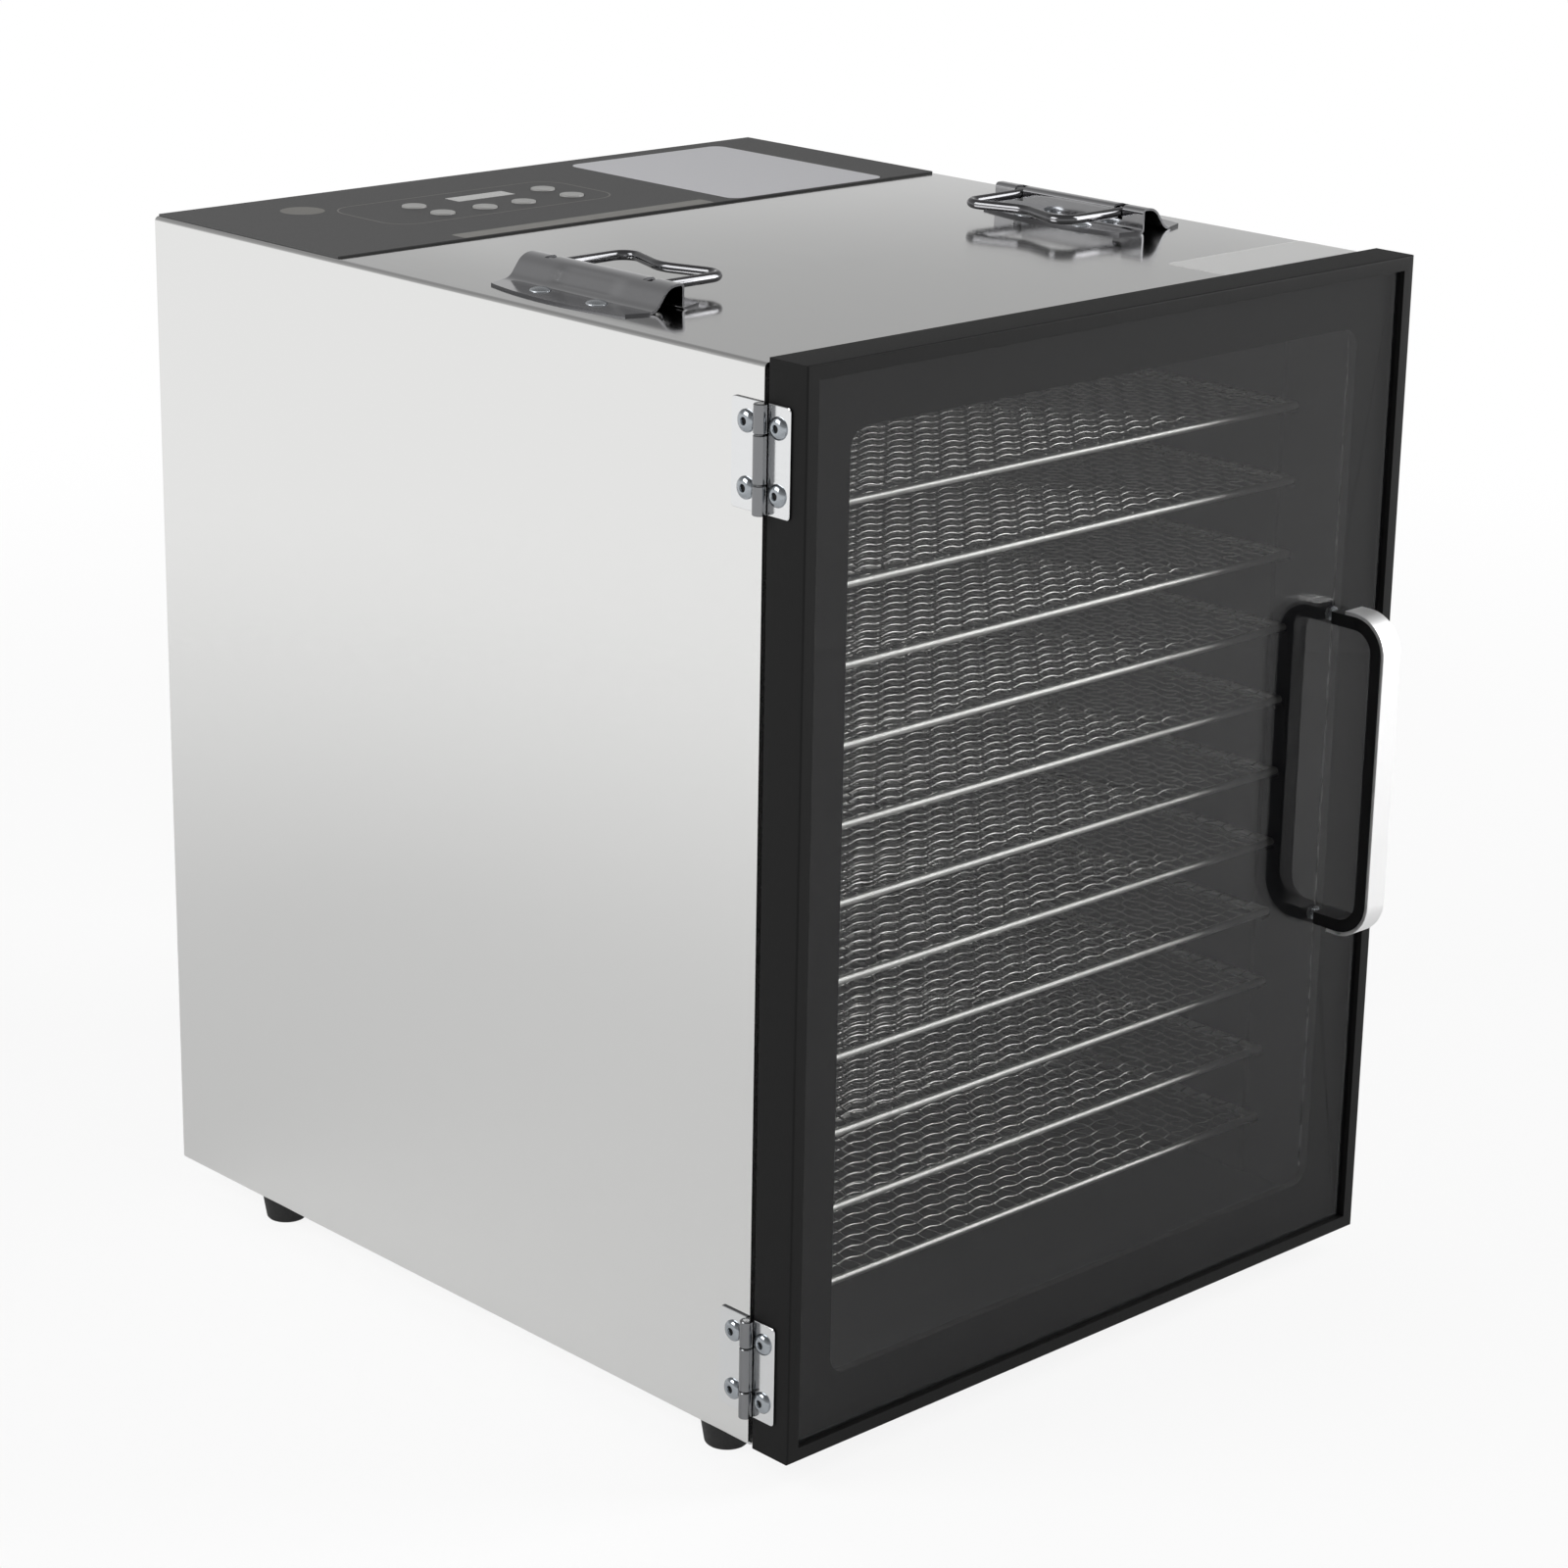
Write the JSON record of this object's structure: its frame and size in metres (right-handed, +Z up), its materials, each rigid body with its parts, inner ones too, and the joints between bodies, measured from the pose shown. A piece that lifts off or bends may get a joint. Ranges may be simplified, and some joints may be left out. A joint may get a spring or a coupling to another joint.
{
  "type": "food dehydrator",
  "caption": "Stainless steel food dehydrator cabinet with a hinged tinted glass door, sliding wire trays, rear fan and heater, push keys and folding carry handles.",
  "frame": {"origin": "on the surface it stands on, under the centre of the overall box", "axes": "+Z up, the door faces -Y, +X to the right of someone facing the door"},
  "size_m": [0.4218, 0.5164, 0.5475],
  "materials": {
    "polished_stainless": "mirror polished",
    "chamber_steel": "rolled",
    "tray_wire": "bright electropolished",
    "motor_steel": "drawn",
    "fan_aluminium": "pressed",
    "heater_sheath": "heat darkened",
    "probe_steel": "turned",
    "overlay_film": "satin printed film",
    "display_window": "gloss",
    "circuit_board": "solder resist",
    "key_grey": "satin",
    "black_rubber": "moulded",
    "inlet_plastic": "moulded",
    "handle_chrome": "bright plated",
    "hinge_steel": "satin rolled",
    "rivet_steel": "bright",
    "black_anodised": "black anodised",
    "tinted_glass": "gloss tinted",
    "grip_core": "black anodised",
    "grip_strip": "satin brushed"
  },
  "bodies": {
    "cabinet": {"outer_casing": "polished_stainless", "rear_panel": "polished_stainless", "base_panel": "polished_stainless", "front_frame": "polished_stainless", "chamber_liner": "chamber_steel", "air_baffle": "chamber_steel", "fan_guard": "chamber_steel", "left_rack": "chamber_steel", "right_rack": "chamber_steel", "motor_bracket": "chamber_steel", "heater_clips": "chamber_steel", "fan_motor": "motor_steel", "heater_element": "heater_sheath", "temperature_sensor": "probe_steel", "control_overlay": "overlay_film", "display_lens": "display_window", "control_board": "circuit_board", "key_switches": "circuit_board", "feet": "black_rubber", "power_inlet": "inlet_plastic", "left_handle_plate": "handle_chrome", "right_handle_plate": "handle_chrome", "cabinet_hinge_leaves": "hinge_steel", "handle_rivets": "rivet_steel", "cabinet_hinge_rivets": "rivet_steel", "hinge_pins": "rivet_steel", "door_catch": "rivet_steel"},
    "door": {"door_frame": "black_anodised", "door_glass": "tinted_glass", "door_gasket": "black_rubber", "catch_strike": "rivet_steel", "handle_grip": "grip_core", "handle_trim": "grip_strip", "handle_screws": "rivet_steel", "door_hinge_leaves": "hinge_steel", "door_hinge_rivets": "rivet_steel"},
    "fan": {"fan_impeller": "fan_aluminium", "fan_shaft": "motor_steel"},
    "left_bail": {"left_bail": "handle_chrome"},
    "right_bail": {"right_bail": "handle_chrome"},
    "rear_left_key": {"rear_left_key": "key_grey"},
    "rear_right_key": {"rear_right_key": "key_grey"},
    "front_key_1": {"front_key_1": "key_grey"},
    "front_key_2": {"front_key_2": "key_grey"},
    "front_key_3": {"front_key_3": "key_grey"},
    "front_key_4": {"front_key_4": "key_grey"},
    "tray_01": {"tray_01": "tray_wire"},
    "tray_02": {"tray_02": "tray_wire"},
    "tray_03": {"tray_03": "tray_wire"},
    "tray_04": {"tray_04": "tray_wire"},
    "tray_05": {"tray_05": "tray_wire"},
    "tray_06": {"tray_06": "tray_wire"},
    "tray_07": {"tray_07": "tray_wire"},
    "tray_08": {"tray_08": "tray_wire"},
    "tray_09": {"tray_09": "tray_wire"},
    "tray_10": {"tray_10": "tray_wire"},
    "tray_11": {"tray_11": "tray_wire"},
    "tray_12": {"tray_12": "tray_wire"}
  },
  "joints": [
    {"name": "door_hinge", "type": "hinge", "parent": "cabinet", "child": "door", "pos_m": [-0.2077, -0.20075, 0.275], "axis": [0, 0, -1], "range_deg": [0, 170]},
    {"name": "left_bail_fold", "type": "hinge", "parent": "cabinet", "child": "left_bail", "pos_m": [-0.1581, -0.03925, 0.5435], "axis": [0, -1, 0], "range_deg": [0, 90]},
    {"name": "right_bail_fold", "type": "hinge", "parent": "cabinet", "child": "right_bail", "pos_m": [0.1649, -0.03925, 0.5435], "axis": [0, 1, 0], "range_deg": [0, 90]},
    {"name": "fan_spin", "type": "hinge", "parent": "cabinet", "child": "fan", "pos_m": [0.0034, 0.12675, 0.275], "axis": [0, 1, 0], "continuous": true},
    {"name": "rear_left_key_press", "type": "slide", "parent": "cabinet", "child": "rear_left_key", "axis": [0, 0, -1], "range_m": [0, 0.0006], "stiffness_N_per_m": 800},
    {"name": "rear_right_key_press", "type": "slide", "parent": "cabinet", "child": "rear_right_key", "axis": [0, 0, -1], "range_m": [0, 0.0006], "stiffness_N_per_m": 800},
    {"name": "front_key_1_press", "type": "slide", "parent": "cabinet", "child": "front_key_1", "axis": [0, 0, -1], "range_m": [0, 0.0006], "stiffness_N_per_m": 800},
    {"name": "front_key_2_press", "type": "slide", "parent": "cabinet", "child": "front_key_2", "axis": [0, 0, -1], "range_m": [0, 0.0006], "stiffness_N_per_m": 800},
    {"name": "front_key_3_press", "type": "slide", "parent": "cabinet", "child": "front_key_3", "axis": [0, 0, -1], "range_m": [0, 0.0006], "stiffness_N_per_m": 800},
    {"name": "front_key_4_press", "type": "slide", "parent": "cabinet", "child": "front_key_4", "axis": [0, 0, -1], "range_m": [0, 0.0006], "stiffness_N_per_m": 800},
    {"name": "tray_01_slide", "type": "slide", "parent": "cabinet", "child": "tray_01", "axis": [0, -1, 0], "range_m": [0, 0.022]},
    {"name": "tray_02_slide", "type": "slide", "parent": "cabinet", "child": "tray_02", "axis": [0, -1, 0], "range_m": [0, 0.022]},
    {"name": "tray_03_slide", "type": "slide", "parent": "cabinet", "child": "tray_03", "axis": [0, -1, 0], "range_m": [0, 0.022]},
    {"name": "tray_04_slide", "type": "slide", "parent": "cabinet", "child": "tray_04", "axis": [0, -1, 0], "range_m": [0, 0.022]},
    {"name": "tray_05_slide", "type": "slide", "parent": "cabinet", "child": "tray_05", "axis": [0, -1, 0], "range_m": [0, 0.022]},
    {"name": "tray_06_slide", "type": "slide", "parent": "cabinet", "child": "tray_06", "axis": [0, -1, 0], "range_m": [0, 0.022]},
    {"name": "tray_07_slide", "type": "slide", "parent": "cabinet", "child": "tray_07", "axis": [0, -1, 0], "range_m": [0, 0.022]},
    {"name": "tray_08_slide", "type": "slide", "parent": "cabinet", "child": "tray_08", "axis": [0, -1, 0], "range_m": [0, 0.022]},
    {"name": "tray_09_slide", "type": "slide", "parent": "cabinet", "child": "tray_09", "axis": [0, -1, 0], "range_m": [0, 0.022]},
    {"name": "tray_10_slide", "type": "slide", "parent": "cabinet", "child": "tray_10", "axis": [0, -1, 0], "range_m": [0, 0.022]},
    {"name": "tray_11_slide", "type": "slide", "parent": "cabinet", "child": "tray_11", "axis": [0, -1, 0], "range_m": [0, 0.022]},
    {"name": "tray_12_slide", "type": "slide", "parent": "cabinet", "child": "tray_12", "axis": [0, -1, 0], "range_m": [0, 0.022]}
  ]
}
